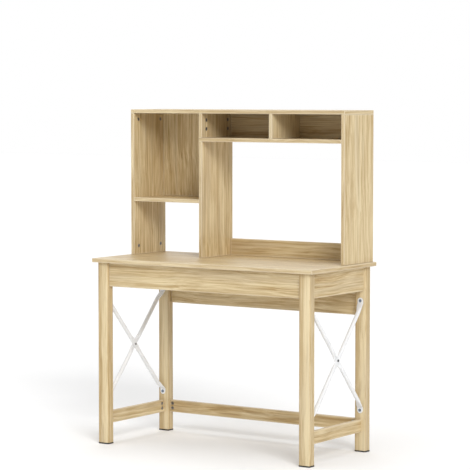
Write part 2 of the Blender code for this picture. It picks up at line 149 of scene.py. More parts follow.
def start_group(name, inputs, outputs):
    """A node group with named sockets: (name, kind, default)."""
    tree = bpy.data.node_groups.new(name, "ShaderNodeTree")
    for socket_name, kind, default in inputs:
        socket = tree.interface.new_socket(socket_name, in_out="INPUT", socket_type="NodeSocket" + kind)
        socket.default_value = default
    for socket_name, kind in outputs:
        tree.interface.new_socket(socket_name, in_out="OUTPUT", socket_type="NodeSocket" + kind)
    return tree, tree.nodes.new("NodeGroupInput").outputs, tree.nodes.new("NodeGroupOutput").inputs


def place_group(tree, group, **inputs):
    item = tree.nodes.new("ShaderNodeGroup")
    item.node_tree = group
    for name, value in inputs.items():
        key = name.replace("_", " ")
        if isinstance(value, bpy.types.NodeSocket):
            tree.links.new(value, item.inputs[key])
        else:
            item.inputs[key].default_value = value
    return item.outputs


# ---------------------------------------------------------------- oak foil
def oak_grain_group():
    """Printed oak grain that runs along the first axis of Place, in metres."""
    tree, given, out = start_group(
        "oak grain",
        (("Place", "Vector", (0, 0, 0)), ("Facing", "Vector", (0, 0, 1)), ("Seed", "Float", 0.0),
         ("Tone", "Float", 0.0), ("Figure", "Float", 1.0), ("Contrast", "Float", 1.0)),
        (("Colour", "Color"), ("Height", "Float"), ("Pores", "Float")),
    )
    facing = add_node(tree, "ShaderNodeSeparateXYZ", {0: given["Facing"]}).outputs
    on_end = maths(tree, "GREATER_THAN", maths(tree, "ABSOLUTE", facing[0]), 0.7)
    parts = add_node(tree, "ShaderNodeSeparateXYZ", {0: given["Place"]}).outputs
    turned = add_node(tree, "ShaderNodeCombineXYZ", {0: parts[1], 1: parts[0], 2: parts[2]}).outputs[0]
    along = mix_vector(tree, on_end, given["Place"], turned)
    shift = add_node(
        tree,
        "ShaderNodeCombineXYZ",
        {0: maths(tree, "MULTIPLY", given["Seed"], 1.37),
         1: maths(tree, "MULTIPLY", given["Seed"], 0.71),
         2: maths(tree, "MULTIPLY", given["Seed"], 0.53)},
    ).outputs[0]
    along = vector_maths(tree, "ADD", along, shift)

    drift = noise(tree, vector_maths(tree, "MULTIPLY", along, (2.4, 5.0, 5.0)), 1.0, 1.5)
    drift = maths(tree, "MULTIPLY_ADD", drift, 0.045, -0.0225)
    sideways = add_node(tree, "ShaderNodeCombineXYZ", {0: 0.0, 1: drift, 2: drift}).outputs[0]
    along = vector_maths(tree, "ADD", along, sideways)

    bands = noise(tree, vector_maths(tree, "MULTIPLY", along, (0.9, 27.0, 27.0)), 1.0, 2.0)
    streaks = noise(tree, vector_maths(tree, "MULTIPLY", along, (2.8, 120.0, 120.0)), 1.0, 3.0, 0.6)
    threads = noise(tree, vector_maths(tree, "MULTIPLY", along, (8.0, 320.0, 320.0)), 1.0, 2.0, 0.6)
    fibres = noise(tree, vector_maths(tree, "MULTIPLY", along, (16.0, 700.0, 700.0)), 1.0, 3.0, 0.65)

    hills = noise(tree, vector_maths(tree, "MULTIPLY", along, (0.75, 5.2, 5.2)), 1.0, 1.4, 0.4)
    hills = maths(tree, "MULTIPLY_ADD", threads, 0.5, maths(tree, "MULTIPLY", hills, 21.0))
    saw = maths(tree, "FRACT", hills)
    rings = maths(tree, "MULTIPLY", spread(tree, saw, 0.20, 0.82), spread(tree, saw, 0.82, 1.0, 1.0, 0.0))
    patch = noise(tree, vector_maths(tree, "MULTIPLY", along, (1.3, 5.0, 5.0)))
    rings = maths(tree, "MULTIPLY", rings, spread(tree, patch, 0.40, 0.62))

    pore_place = vector_maths(tree, "MULTIPLY", along, (60.0, 1500.0, 1500.0))
    pores = spread(tree, noise(tree, pore_place, 1.0, 2.0, 0.6), 0.60, 0.70)
    pores = maths(tree, "MULTIPLY", pores, spread(tree, streaks, 0.40, 0.62, 0.25, 1.0))

    depth = maths(tree, "MULTIPLY_ADD", streaks, 1.9, -0.95)
    depth = maths(tree, "MULTIPLY_ADD", bands, 0.75, maths(tree, "SUBTRACT", depth, 0.375))
    depth = maths(tree, "MULTIPLY_ADD", threads, 1.05, maths(tree, "SUBTRACT", depth, 0.525))
    depth = maths(tree, "MULTIPLY_ADD", fibres, 0.40, maths(tree, "SUBTRACT", depth, 0.20))
    depth = maths(tree, "MULTIPLY_ADD", rings, maths(tree, "MULTIPLY", given["Figure"], 0.30), depth)
    depth = maths(tree, "MULTIPLY_ADD", depth, given["Contrast"], maths(tree, "ADD", given["Tone"], 0.44))
    body = ramp(
        tree,
        depth,
        (
            (0.0, (0.760, 0.635, 0.400)),
            (0.28, (0.650, 0.520, 0.305)),
            (0.52, (0.550, 0.415, 0.225)),
            (0.78, (0.455, 0.315, 0.140)),
            (1.0, (0.345, 0.225, 0.090)),
        ),
    )
    grey_place = vector_maths(tree, "MULTIPLY", along, (1.6, 30.0, 30.0))
    grey = spread(tree, noise(tree, grey_place, 1.0, 2.0), 0.50, 0.68, 0.0, 0.32)
    body = mix_colour(tree, grey, body, (0.510, 0.420, 0.290, 1))
    pore_depth = maths(tree, "MULTIPLY", pores, 0.34)
    body = mix_colour(tree, pore_depth, body, (0.230, 0.145, 0.065, 1))
    tree.links.new(body, out["Colour"])
    height = maths(tree, "MULTIPLY_ADD", pores, -0.7, maths(tree, "MULTIPLY", fibres, 0.3))
    tree.links.new(height, out["Height"])
    tree.links.new(pores, out["Pores"])
    return tree


def arris_group():
    """Masks by the distance to a board's nearest corner line.

    Arris marks the corner line for a painted highlight, Joint the line of the edge band and Painted halo
    the paler zone beside them, a painted halo of light.
    """
    tree, given, out = start_group(
        "board arris",
        (("Place", "Vector", (0, 0, 0)), ("Half size", "Vector", (0.1, 0.1, 0.1)),
         ("Width", "Float", 1.2)),
        (("Arris", "Float"), ("Joint", "Float"), ("Painted halo", "Float")),
    )
    from_middle = vector_maths(tree, "ABSOLUTE", given["Place"])
    inside = vector_maths(tree, "SUBTRACT", given["Half size"], from_middle)
    depth = add_node(tree, "ShaderNodeSeparateXYZ", {0: inside}).outputs
    lesser = maths(tree, "MINIMUM", depth[0], depth[1])
    greater = maths(tree, "MAXIMUM", depth[0], depth[1])
    second = maths(tree, "MAXIMUM", lesser, maths(tree, "MINIMUM", greater, depth[2]))
    distance = maths(tree, "MULTIPLY", second, 1000.0)
    # Painted highlight band along each corner line, its width wavering.
    waver = noise(tree, vector_maths(tree, "MULTIPLY", given["Place"], (60.0, 60.0, 60.0)), 1.0, 3.0)
    highlight_width = maths(tree, "MULTIPLY", given["Width"], maths(tree, "MULTIPLY_ADD", waver, 0.9, 0.55))
    arris = maths(tree, "SUBTRACT", 1.0, spread(tree, maths(tree, "DIVIDE", distance, highlight_width), 0.15, 1.0))
    tree.links.new(arris, out["Arris"])
    away = maths(tree, "ABSOLUTE", maths(tree, "SUBTRACT", distance, 1.05))
    joint = spread(tree, away, 0.05, 0.22, 1.0, 0.0)
    tree.links.new(joint, out["Joint"])
    # Painted halo: the zone within 9 mm of a corner line, made paler as painted light.
    painted_halo = spread(tree, distance, 0.0, 9.0, 1.0, 0.0)
    tree.links.new(painted_halo, out["Painted halo"])
    return tree


def handling_group():
    """Faint uneven wear and dust on a satin surface, as two masks."""
    tree, given, out = start_group(
        "handling",
        (("Place", "Vector", (0, 0, 0)), ("Scale", "Float", 9.0)),
        (("Cloud", "Float"), ("Speck", "Float")),
    )
    cloud = noise(tree, given["Place"], given["Scale"], 4.0, 0.6)
    tree.links.new(spread(tree, cloud, 0.35, 0.70), out["Cloud"])
    fine = maths(tree, "MULTIPLY", given["Scale"], 60.0)
    speck = noise(tree, given["Place"], fine, 2.0)
    tree.links.new(spread(tree, speck, 0.30, 0.75), out["Speck"])
    return tree


GRAIN = oak_grain_group()
ARRIS = arris_group()
HANDLING = handling_group()


def start_material(name, viewport):
    material = bpy.data.materials.new(name)
    material.use_nodes = True
    material.diffuse_color = (*viewport, 1)
    tree = material.node_tree
    tree.nodes.clear()
    shader = tree.nodes.new("ShaderNodeBsdfPrincipled")
    output = tree.nodes.new("ShaderNodeOutputMaterial")
    tree.links.new(shader.outputs[0], output.inputs["Surface"])
    return material, tree, shader


# Painted light across each leg, as tone offsets: golden at the left edge, a painted highlight at the
# rounded front-right corner and painted shade on the right face.
LEG_HALF_WIDE = 0.025
HIGHLIGHT_PEAK = 0.017
RIGHT_SHADE_START = 0.019
GOLDEN_TONE = 0.24
PAINTED_HIGHLIGHT_TONE = -0.34
RIGHT_FACE_SHADE = 0.46
BOARD_FIGURE = 0.5
BOARD_GLOSS = 0.28
GRAIN_TURNS = {"X": Euler((0, 0, 0)), "Y": Euler((0, 0, -math.pi / 2)), "Z": Euler((0, math.pi / 2, 0))}


def painted_leg_shading(tree, place, centre_x):
    """Painted light across a leg as tone: golden at its left (partly the foil's tone, partly painted
    shade of the rounded edge), paling to a painted highlight at the front-right corner, painted shade on
    its right face.
    """
    across = add_node(tree, "ShaderNodeSeparateXYZ", {0: place}).outputs[0]
    across = maths(tree, "SUBTRACT", across, centre_x)
    highlight_ramp = spread(tree, across, -LEG_HALF_WIDE, HIGHLIGHT_PEAK, GOLDEN_TONE, PAINTED_HIGHLIGHT_TONE)
    right_face_shade = spread(tree, across, RIGHT_SHADE_START, LEG_HALF_WIDE, 0.0, RIGHT_FACE_SHADE)
    return maths(tree, "ADD", highlight_ramp, right_face_shade)


def oak_board(name, low, high, grain, seed, tone=0.0, figure=BOARD_FIGURE, contrast=1.0,
              edge_highlight=0.7, gloss=BOARD_GLOSS, painted_leg_light=False):
    """Oak foil for one board: grain along the named axis, its own stretch of pattern, painted highlights
    along its corners, and painted shading across a leg.
    """
    material, tree, shader = start_material("oak_" + name, (0.70, 0.55, 0.35))
    turn = GRAIN_TURNS[grain]
    centre = (low + high) / 2
    half = turn.to_matrix() @ ((high - low) / 2)
    coordinates = tree.nodes.new("ShaderNodeTexCoord").outputs
    shift = -(turn.to_matrix() @ centre)
    place = add_node(
        tree, "ShaderNodeMapping", {0: coordinates["Object"], "Location": shift, "Rotation": turn}
    ).outputs[0]
    facing = add_node(
        tree, "ShaderNodeMapping", {0: coordinates["Normal"], "Rotation": turn}, vector_type="NORMAL"
    ).outputs[0]
    # Legs take painted highlight and painted shade across their width as their tone.
    if painted_leg_light:
        tone = painted_leg_shading(tree, coordinates["Object"], centre.x)
    grain_out = place_group(
        tree, GRAIN, Place=place, Facing=facing, Seed=seed, Tone=tone, Figure=figure, Contrast=contrast
    )
    arris_out = place_group(
        tree, ARRIS, Place=place, Half_size=[abs(value) for value in half], Width=1.6
    )
    hands = place_group(tree, HANDLING, Place=place, Scale=7.0)
    # Painted highlight: corner lines and the zone beside them are mixed toward a pale colour in place of
    # light caught by the board edges.
    painted_edge_highlight = maths(tree, "MULTIPLY_ADD", arris_out["Painted halo"], 0.5, arris_out["Arris"])
    painted_edge_highlight = maths(tree, "MULTIPLY", painted_edge_highlight, edge_highlight)
    colour = mix_colour(tree, painted_edge_highlight, grain_out["Colour"], (0.72, 0.62, 0.45, 1))
    joint = maths(tree, "MULTIPLY", arris_out["Joint"], 0.30)
    colour = mix_colour(tree, joint, colour, (0.27, 0.185, 0.09, 1))
    cloud = maths(tree, "MULTIPLY", hands["Cloud"], 0.06)
    colour = mix_colour(tree, cloud, colour, (0.63, 0.55, 0.39, 1))
    tree.links.new(colour, shader.inputs["Base Color"])
    rough = maths(tree, "MULTIPLY_ADD", grain_out["Pores"], 0.16, 0.44)
    rough = maths(tree, "MULTIPLY_ADD", hands["Cloud"], 0.07, rough)
    rough = maths(tree, "MULTIPLY_ADD", arris_out["Arris"], -0.08, rough)
    tree.links.new(rough, shader.inputs["Roughness"])
    bump = add_node(
        tree, "ShaderNodeBump", {"Height": grain_out["Height"], "Strength": 0.35, "Distance": 0.00025}
    )
    tree.links.new(bump.outputs[0], shader.inputs["Normal"])
    shader.inputs["IOR"].default_value = 1.48
    shader.inputs["Specular IOR Level"].default_value = gloss
    return material


def white_steel():
    """Satin white powder coat with a fine orange peel, a little greyer in clouds."""
    material, tree, shader = start_material("white_powder_coat", (0.88, 0.88, 0.88))
    place = tree.nodes.new("ShaderNodeTexCoord").outputs["Object"]
    hands = place_group(tree, HANDLING, Place=place, Scale=16.0)
    peel = noise(tree, place, 1300.0, 2.0, 0.5)
    blotch = mix_colour(tree, hands["Cloud"], (0.800, 0.806, 0.815, 1), (0.760, 0.763, 0.770, 1))
    dust = maths(tree, "MULTIPLY", hands["Speck"], 0.06)
    tree.links.new(mix_colour(tree, dust, blotch, (0.70, 0.69, 0.68, 1)), shader.inputs["Base Color"])
    rough = maths(tree, "MULTIPLY_ADD", peel, 0.10, 0.30)
    rough = maths(tree, "MULTIPLY_ADD", hands["Cloud"], 0.08, rough)
    tree.links.new(rough, shader.inputs["Roughness"])
    bump = add_node(tree, "ShaderNodeBump", {"Height": peel, "Strength": 0.18, "Distance": 0.0002})
    tree.links.new(bump.outputs[0], shader.inputs["Normal"])
    return material


def black_plastic():
    """Matt moulded plastic with a spark-eroded skin, greyer where it rubs."""
    material, tree, shader = start_material("black_moulded_plastic", (0.03, 0.03, 0.03))
    place = tree.nodes.new("ShaderNodeTexCoord").outputs["Object"]
    hands = place_group(tree, HANDLING, Place=place, Scale=30.0)
    skin = noise(tree, place, 1600.0, 3.0, 0.6)
    base = mix_colour(tree, hands["Cloud"], (0.014, 0.014, 0.015, 1), (0.030, 0.029, 0.028, 1))
    rub = maths(tree, "MULTIPLY", hands["Speck"], 0.15)
    tree.links.new(mix_colour(tree, rub, base, (0.075, 0.072, 0.068, 1)), shader.inputs["Base Color"])
    rough = maths(tree, "MULTIPLY_ADD", skin, 0.20, 0.48)
    tree.links.new(rough, shader.inputs["Roughness"])
    bump = add_node(tree, "ShaderNodeBump", {"Height": skin, "Strength": 0.35, "Distance": 0.0002})
    tree.links.new(bump.outputs[0], shader.inputs["Normal"])
    return material


def metal(name, light, shade_colour, stain, rough_low, rough_high, scale):
    """Small plated or cast fittings: the depth mask paints shade into their recesses."""
    material, tree, shader = start_material(name, light)
    place = tree.nodes.new("ShaderNodeTexCoord").outputs["Object"]
    depth = add_node(tree, "ShaderNodeAttribute", attribute_name="depth").outputs["Fac"]
    mottle = spread(tree, noise(tree, place, scale, 4.0, 0.65), 0.30, 0.72)
    grit = noise(tree, place, scale * 6, 2.0, 0.6)
    colour = mix_colour(tree, mottle, (*light, 1), (*stain, 1))
    # Painted shade: recesses are darkened by the depth mask.
    painted_shade = maths(tree, "MULTIPLY", depth, 0.85)
    tree.links.new(mix_colour(tree, painted_shade, colour, (*shade_colour, 1)), shader.inputs["Base Color"])
    rough = spread(tree, mottle, 0.0, 1.0, rough_low, rough_high, smooth=False)
    rough = maths(tree, "MULTIPLY_ADD", grit, 0.10, rough)
    tree.links.new(rough, shader.inputs["Roughness"])
    shader.inputs["Metallic"].default_value = 1.0
    bump = add_node(tree, "ShaderNodeBump", {"Height": grit, "Strength": 0.22, "Distance": 0.00012})
    tree.links.new(bump.outputs[0], shader.inputs["Normal"])
    return material


def beech():
    """Plain beech for the dowels: short flecks along the pin."""
    material, tree, shader = start_material("beech_dowel", (0.66, 0.47, 0.30))
    place = tree.nodes.new("ShaderNodeTexCoord").outputs["Object"]
    stretched = vector_maths(tree, "MULTIPLY", place, (180.0, 900.0, 900.0))
    fleck = noise(tree, stretched, 1.0, 3.0, 0.6)
    tone = ramp(tree, fleck, ((0.30, (0.74, 0.55, 0.37)), (0.70, (0.52, 0.34, 0.20))))
    tree.links.new(tone, shader.inputs["Base Color"])
    tree.links.new(maths(tree, "MULTIPLY_ADD", fleck, 0.2, 0.55), shader.inputs["Roughness"])
    bump = add_node(tree, "ShaderNodeBump", {"Height": fleck, "Strength": 0.3, "Distance": 0.0002})
    tree.links.new(bump.outputs[0], shader.inputs["Normal"])
    return material


WHITE = white_steel()
BLACK = black_plastic()
CAM_METAL = metal(
    "cast_zinc", (0.36, 0.35, 0.34), (0.030, 0.028, 0.026), (0.27, 0.25, 0.23), 0.38, 0.55, 420
)
BOLT_METAL = metal(
    "plated_bolt", (0.60, 0.60, 0.61), (0.06, 0.06, 0.06), (0.48, 0.47, 0.46), 0.25, 0.40, 520
)
DARK_METAL = metal(
    "dark_bolt", (0.20, 0.20, 0.21), (0.02, 0.02, 0.02), (0.14, 0.14, 0.15), 0.28, 0.42, 520
)
SCREW_METAL = metal(
    "blued_screw", (0.33, 0.40, 0.50), (0.030, 0.035, 0.045), (0.25, 0.30, 0.38), 0.24, 0.38, 600
)
BEECH = beech()


# ---------------------------------------------------------------- mesh helpers
def soften(bm, sharp_angle=0.6):
    """Smooth faces, with the edges sharper than an angle kept crisp."""
    bmesh.ops.recalc_face_normals(bm, faces=bm.faces)
    for face in bm.faces:
        face.smooth = True
    for edge in bm.edges:
        edge.smooth = len(edge.link_faces) == 2 and edge.calc_face_angle() < sharp_angle


def new_piece(name, bm, material, replaced=()):
    mesh = bpy.data.meshes.new(name)
    bm.to_mesh(mesh)
    bm.free()
    return show_piece(name, mesh, material, replaced)


def show_piece(name, mesh, material, replaced=()):
    piece = bpy.data.objects.new(name, mesh)
    bpy.context.scene.collection.objects.link(piece)
    mesh.materials.clear()
    mesh.materials.append(material)
    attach(piece, BODY)
    if replaced:
        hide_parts(*replaced)
    return piece


def bevel(bm, edges, width, segments):
    bmesh.ops.bevel(
        bm, geom=list(edges), offset=width, offset_type="OFFSET", segments=segments, profile=0.5,
        affect="EDGES", material=-1, clamp_overlap=True
    )


def block(low, high):
    bm = bmesh.new()
    size = high - low
    matrix = Matrix.Translation((low + high) / 2) @ Matrix.Diagonal((*size, 1))
    bmesh.ops.create_cube(bm, size=1.0, matrix=matrix)
    return bm


def upright_edges(bm):
    return [e for e in bm.edges if (e.verts[0].co - e.verts[1].co).normalized().z ** 2 > 0.99]


def rim_edges(bm, height):
    return [e for e in bm.edges if all(abs(v.co.z - height) < 1e-6 for v in e.verts)]


def turned(profile, segments):
    """A solid of revolution about Z from (radius, height) points, closed at both ends."""
    bm = bmesh.new()
    points = [bm.verts.new((radius, 0, height)) for radius, height in profile]
    line = [bm.edges.new(pair) for pair in zip(points, points[1:])]
    bmesh.ops.spin(
        bm, geom=points + line, cent=(0, 0, 0), axis=(0, 0, 1), angle=2 * math.pi,
        steps=segments, use_merge=True
    )
    bmesh.ops.remove_doubles(bm, verts=bm.verts, dist=1e-6)
    bmesh.ops.recalc_face_normals(bm, faces=bm.faces)
    return bm


def carve(bm, cutters):
    """The solid with each cutter taken away from it."""
    scratch = bpy.data.collections.new("scratch")
    bpy.context.scene.collection.children.link(scratch)
    made = []
    for index, solid in enumerate([bm, *cutters]):
        mesh = bpy.data.meshes.new("scratch")
        solid.to_mesh(mesh)
        solid.free()
        item = bpy.data.objects.new("scratch", mesh)
        scratch.objects.link(item)
        made.append(item)
    for cutter in made[1:]:
        change = made[0].modifiers.new("cut", "BOOLEAN")
        change.operation = "DIFFERENCE"
        change.solver = "EXACT"
        change.object = cutter
    bpy.context.view_layer.update()
    shape = made[0].evaluated_get(bpy.context.evaluated_depsgraph_get())
    result = bmesh.new()
    result.from_mesh(shape.to_mesh())
    shape.to_mesh_clear()
    for item in made:
        bpy.data.objects.remove(item)
    bpy.data.collections.remove(scratch)
    bmesh.ops.remove_doubles(result, verts=result.verts, dist=1e-6)
    bmesh.ops.dissolve_degenerate(result, edges=result.edges, dist=1e-6)
    return result


def wedge_cross(width, reach, deep, top):
    """Two tapered blades of a cross recess, sunk from a height."""
    blades = []
    for turn in (0, math.pi / 2):
        bm = bmesh.new()
        bmesh.ops.create_cube(bm, size=1.0)
        for vert in bm.verts:
            low = vert.co.z < 0
            reach_here = reach * (0.45 if low else 1.08)
            wide_here = width * (0.60 if low else 1.08)
            vert.co = Vector((
                math.copysign(reach_here, vert.co.x),
                math.copysign(wide_here / 2, vert.co.y),
                top - deep if low else top + 0.0004,
            ))
        bmesh.ops.rotate(bm, cent=(0, 0, 0), matrix=Matrix.Rotation(turn, 3, "Z"), verts=bm.verts)
        blades.append(bm)
    return blades


def master(bm, top, sink):
    """Finishes a small fitting's mesh: crisp edges, and how far each point lies below its top, for the
    painted shade in its recesses.
    """
    soften(bm, 0.5)
    layer = bm.verts.layers.float.new("depth")
    for vert in bm.verts:
        vert[layer] = min(max((top - vert.co.z) / sink, 0.0), 1.0)
    mesh = bpy.data.meshes.new("fitting")
    bm.to_mesh(mesh)
    bm.free()
    return mesh


def facing(place, outward, pointer=None):
    """Matrix that puts a fitting at a place, its top outward and its X axis along a pointer."""
    z = outward.normalized()
    x = pointer.normalized() if pointer else (Z if abs(z.z) < 0.9 else X)
    y = z.cross(x).normalized()
    x = y.cross(z)
    turn = Matrix((x, y, z)).transposed().to_4x4()
    return Matrix.Translation(place) @ turn


def place_fitting(name, mesh, matrix, material, replaced=()):
    own = mesh.copy()
    own.transform(matrix)
    own.name = name
    return show_piece(name, own, material, replaced)


# ---------------------------------------------------------------- boards carried over from the frame
BOARD_GRAIN = {
    "desk_top": "X",
    "desk_apron_front": "X",
    "desk_apron_left": "Y",
    "desk_apron_right": "Y",
    "desk_back_panel": "X",
    "desk_stretcher_back": "X",
    "desk_stretcher_left": "Y",
    "desk_stretcher_right": "Y",
    "hutch_side_left": "Z",
    "hutch_side_right": "Z",
    "hutch_divider_lower": "Z",
    "hutch_divider_upper": "Z",
    "hutch_cubby_divider": "Z",
    "hutch_top": "X",
    "hutch_shelf_middle": "X",
    "hutch_shelf_left": "X",
    "hutch_back_left": "Z",
    "hutch_back_cubbies": "X",
    "hutch_back_rail": "X",
}
SEED_STEP = 3.17
SEEDS = {name: SEED_STEP * (index + 1) for index, name in enumerate(BOARD_GRAIN)}
FIGURES = {"desk_back_panel": 1.2, "desk_apron_front": 0.75, "desk_apron_right": 0.75}
# Per-board tone shifts: the cubby divider and the right side are painted lighter, painted light for the
# light that reaches them; the back stretcher is set darker and more golden.
TONE_AND_PAINTED_LIGHT = {"desk_stretcher_back": 0.22, "hutch_cubby_divider": -0.25, "hutch_side_right": -0.10}
GLOSSES = {"desk_top": 0.6}
for name, grain in BOARD_GRAIN.items():
    low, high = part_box(name)
    tone = TONE_AND_PAINTED_LIGHT.get(name, 0.0)
    figure = FIGURES.get(name, BOARD_FIGURE)
    gloss = GLOSSES.get(name, BOARD_GLOSS)
    oak = oak_board(name, low, high, grain, SEEDS[name], tone, figure, gloss=gloss)
    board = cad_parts[name]
    board.data.materials.clear()
    board.data.materials.append(oak)

# ---------------------------------------------------------------- legs and foot pads
LEG_SEED = 41.3
LEG_SEED_STEP = 5.9
LEG_FIGURE = 0.3
LEG_CONTRAST = 0.7
LEG_GLOSS = 0.45
LEG_END_BEVEL = 0.0006
PAD_BEVEL = 0.0007
PAD_RIM = 0.0035
PAD_GROOVE = 0.0006
PAD_HOLLOW = 0.0012
CORNERS = [(end, side) for end in ("front", "back") for side in ("left", "right")]
SIDES = (("left", -1), ("right", 1))
ENDS = (("front", -1), ("back", 1))
for index, (end, side) in enumerate(CORNERS):
    corner = end + "_" + side
    name = "desk_leg_" + corner
    low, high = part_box(name)
    bm = block(low, high)
    bevel(bm, upright_edges(bm), LEG_ROUND, 10)
    bevel(bm, rim_edges(bm, low.z) + rim_edges(bm, high.z), LEG_END_BEVEL, 2)
    soften(bm, 0.5)
    seed = LEG_SEED + LEG_SEED_STEP * index
    oak = oak_board(
        name, low, high, "Z", seed, figure=LEG_FIGURE, contrast=LEG_CONTRAST, edge_highlight=0.0,
        gloss=LEG_GLOSS, painted_leg_light=True
    )
    new_piece("oak_leg_" + corner, bm, oak, [name])

    name = "desk_foot_pad_" + corner
    low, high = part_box(name)
    flange_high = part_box("desk_leg_" + corner)[0].z - GAP
    bm = block(low, Vector((high.x, high.y, flange_high)))
    bevel(bm, upright_edges(bm), LEG_ROUND, 8)
    underside = [f for f in bm.faces if f.normal.z < -0.9]
    bmesh.ops.inset_region(bm, faces=underside, thickness=PAD_RIM, depth=0.0)
    bmesh.ops.inset_region(bm, faces=underside, thickness=PAD_GROOVE, depth=-PAD_HOLLOW)
    bevel(bm, rim_edges(bm, flange_high), PAD_BEVEL, 3)
    outer = [
        e for e in rim_edges(bm, low.z)
        if min(abs(f.normal.z) for f in e.link_faces) < 0.5 and e.calc_face_angle(0) > 1.2
    ]
    bevel(bm, outer, PAD_BEVEL, 3)
    soften(bm, 0.5)
    new_piece("foot_pad_" + corner, bm, BLACK, [name])

# ---------------------------------------------------------------- braces
LEG_FACE = abs(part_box("desk_leg_front_left")[1].y)
TAB_Y = LEG_FACE - GAP - TAB_HALF_THICK
CROSSING = Vector((0, 0, (SCREW_LOW + SCREW_HIGH) / 2))
BEND = Vector((0, -TAB_Y, SCREW_LOW + BEND_ABOVE_SCREW))
RUN = (CROSSING - BEND).length
RING_STEPS = 28


def ease(value, low, high):
    t = min(max((value - low) / (high - low), 0.0), 1.0)
    return t * t * (3 - 2 * t)


def tab_half_width(distance):
    reach = min(distance, TAB_HALF_WIDTH)
    return math.sqrt(max(TAB_HALF_WIDTH**2 - (TAB_HALF_WIDTH - reach) ** 2, 1e-8))


def brace_sections(press_side):
    """Sections from the low front tab to the crossing: place, half width, half thickness, power."""
    tip = SCREW_LOW - TAB_HALF_WIDTH
    sections = []
    for distance in (0.0003, 0.0012, 0.0028, 0.0050, 0.0080, 0.0105, 0.0125, 0.0160, 0.0195):
        half_thick = TAB_HALF_THICK * min(1.0, 0.55 + distance / 0.003)
        place = Vector((TAB_X, -TAB_Y, tip + distance))
        sections.append((place, tab_half_width(distance), half_thick, 5.0))
    for along in (0.0, 0.006, 0.011, 0.016, 0.021, 0.026, 0.031, 0.037, 0.044, 0.052):
        opened = ease(along, 0.004, 0.048)
        place = BEND.lerp(CROSSING, along / RUN)
        place.x = TAB_X + (BRACE_X - TAB_X) * ease(along, 0.0, 0.050)
        half_width = TAB_HALF_WIDTH + (TUBE_RADIUS - TAB_HALF_WIDTH) * opened
        half_thick = TAB_HALF_THICK + (TUBE_RADIUS - TAB_HALF_THICK) * opened
        sections.append((place, half_width, half_thick, 5.0 - 3.0 * opened))
    flat_from = RUN - 0.050
    flat_to = RUN - 0.014
    pressing = [RUN - left for left in (0.043, 0.037, 0.031, 0.025, 0.019)]
    for along in (RUN * 0.5, flat_from, *pressing, flat_to, RUN - 0.007):
        pressed = ease(along, flat_from, flat_to)
        place = BEND.lerp(CROSSING, along / RUN)
        place.x = BRACE_X + press_side * PRESS_OFFSET * pressed
        half_width = TUBE_RADIUS + (PRESS_HALF_THICK - TUBE_RADIUS) * pressed
        half_thick = TUBE_RADIUS + (PRESS_HALF_WIDTH - TUBE_RADIUS) * pressed
        sections.append((place, half_width, half_thick, 2.0 + 2.4 * pressed))
    return sections


def section_ring(bm, place, half_width, half_thick, power, tangent):
    """A ring round a section: a circle at power 2 and nearly a slab at 5."""
    ring = bmesh.ops.create_circle(bm, segments=RING_STEPS, radius=1.0)["verts"]
    across = Vector((0, -tangent.z, tangent.y))
    for vert in ring:
        wide = math.copysign(abs(vert.co.x) ** (2 / power), vert.co.x) * half_width
        thick = math.copysign(abs(vert.co.y) ** (2 / power), vert.co.y) * half_thick
        vert.co = place + X * wide + across * thick
    return ring


def mirrored(section):
    place, *shape = section
    return (Vector((place.x, -place.y, 2 * CROSSING.z - place.z)), *shape)


def build_brace(side_name, side, lean_name, lean):
    """One tube of a crossed pair: lean 1 rises to the back, -1 rises to the front."""
    front = brace_sections(lean)
    sections = front + [mirrored(section) for section in reversed(front)]
    bm = bmesh.new()
    rings = []
    for index, (place, *shape) in enumerate(sections):
        before = sections[max(index - 1, 0)][0]
        after = sections[min(index + 1, len(sections) - 1)][0]
        tangent = after - before
        tangent.x = 0
        rings.append(section_ring(bm, place, *shape, tangent.normalized()))
    loops = [[e for e in bm.edges if all(v in ring for v in e.verts)] for ring in map(set, rings)]
    for first, second in zip(loops, loops[1:]):
        bmesh.ops.bridge_loops(bm, edges=first + second)
    for ring in (rings[0], rings[-1]):
        bmesh.ops.contextual_create(bm, geom=ring)
    bmesh.ops.scale(bm, vec=(side, lean, 1), verts=bm.verts)
    soften(bm, 0.7)
    name = "desk_brace_" + side_name + "_" + lean_name
    new_piece("brace_tube_" + side_name + "_" + lean_name, bm, WHITE, [name])


for side_name, side in SIDES:
    build_brace(side_name, side, "rising", 1)
    build_brace(side_name, side, "falling", -1)

# ---------------------------------------------------------------- screws, bolts and nuts of the braces
SCREW_HEAD_RADIUS = 0.0060
SCREW_HEAD_THICK = 0.0030
SCREW_SHANK = 0.0025
SCREW_LONG = 0.026


def threaded(radius, top, bottom, pitch, tip):
    """Profile points of a thread, cut as rings, from the top down to a tip or a flat end."""
    points = []
    height = top
    while height - pitch > bottom + tip:
        points += [(radius * 0.80, height), (radius, height - pitch * 0.5)]
        height -= pitch
    points.append((radius * 0.80, height))
    points.append((radius * (0.25 if tip > 0.001 else 0.75), bottom))
    points.append((0, bottom))
    return points


